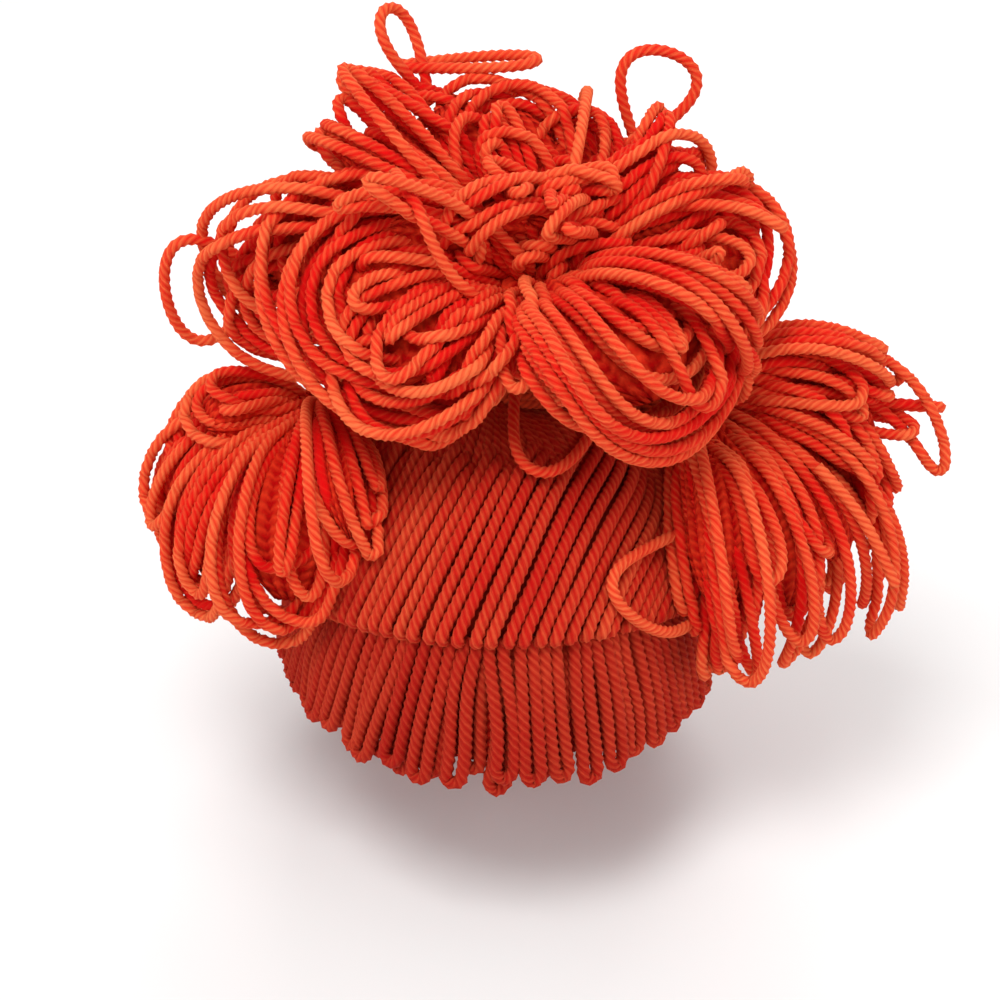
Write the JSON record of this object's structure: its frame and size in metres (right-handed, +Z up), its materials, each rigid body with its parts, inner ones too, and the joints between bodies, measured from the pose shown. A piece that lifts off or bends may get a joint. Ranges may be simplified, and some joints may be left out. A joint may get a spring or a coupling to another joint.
{
  "type": "yarn wig",
  "caption": "Crocheted cap wig covered in yarn strands, with a looped yarn fringe and big tied bunches of yarn loops on the crown and both sides.",
  "frame": {"origin": "inside of the cap at the crown, where the top of the head sits", "axes": "+Z up, -Y towards the front fringe, +X towards the bunch that ends in a point, seen on the right in the picture"},
  "size_m": [0.2762, 0.1987, 0.2687],
  "materials": {
    "yarn": "plied acrylic yarn",
    "fringe_yarn": "plied acrylic yarn",
    "tie_yarn": "plied acrylic yarn, wound tight",
    "cap_yarn": "crocheted acrylic yarn"
  },
  "bodies": {
    "root": {"crochet_cap": "cap_yarn", "strand_cover": "yarn", "front_fringe": "fringe_yarn", "nape_fringe": "fringe_yarn", "top_tie": "tie_yarn", "knot_heart": "yarn", "left_tie": "tie_yarn", "right_tie": "tie_yarn", "front_right_bunch": "yarn", "front_left_bunch": "yarn", "upper_right_bunch": "yarn", "upper_left_bunch": "yarn", "crest_left_bunch": "yarn", "crest_right_bunch": "yarn", "back_bunch": "yarn", "right_side_bunch": "yarn", "left_side_bunch": "yarn"}
  },
  "joints": []
}
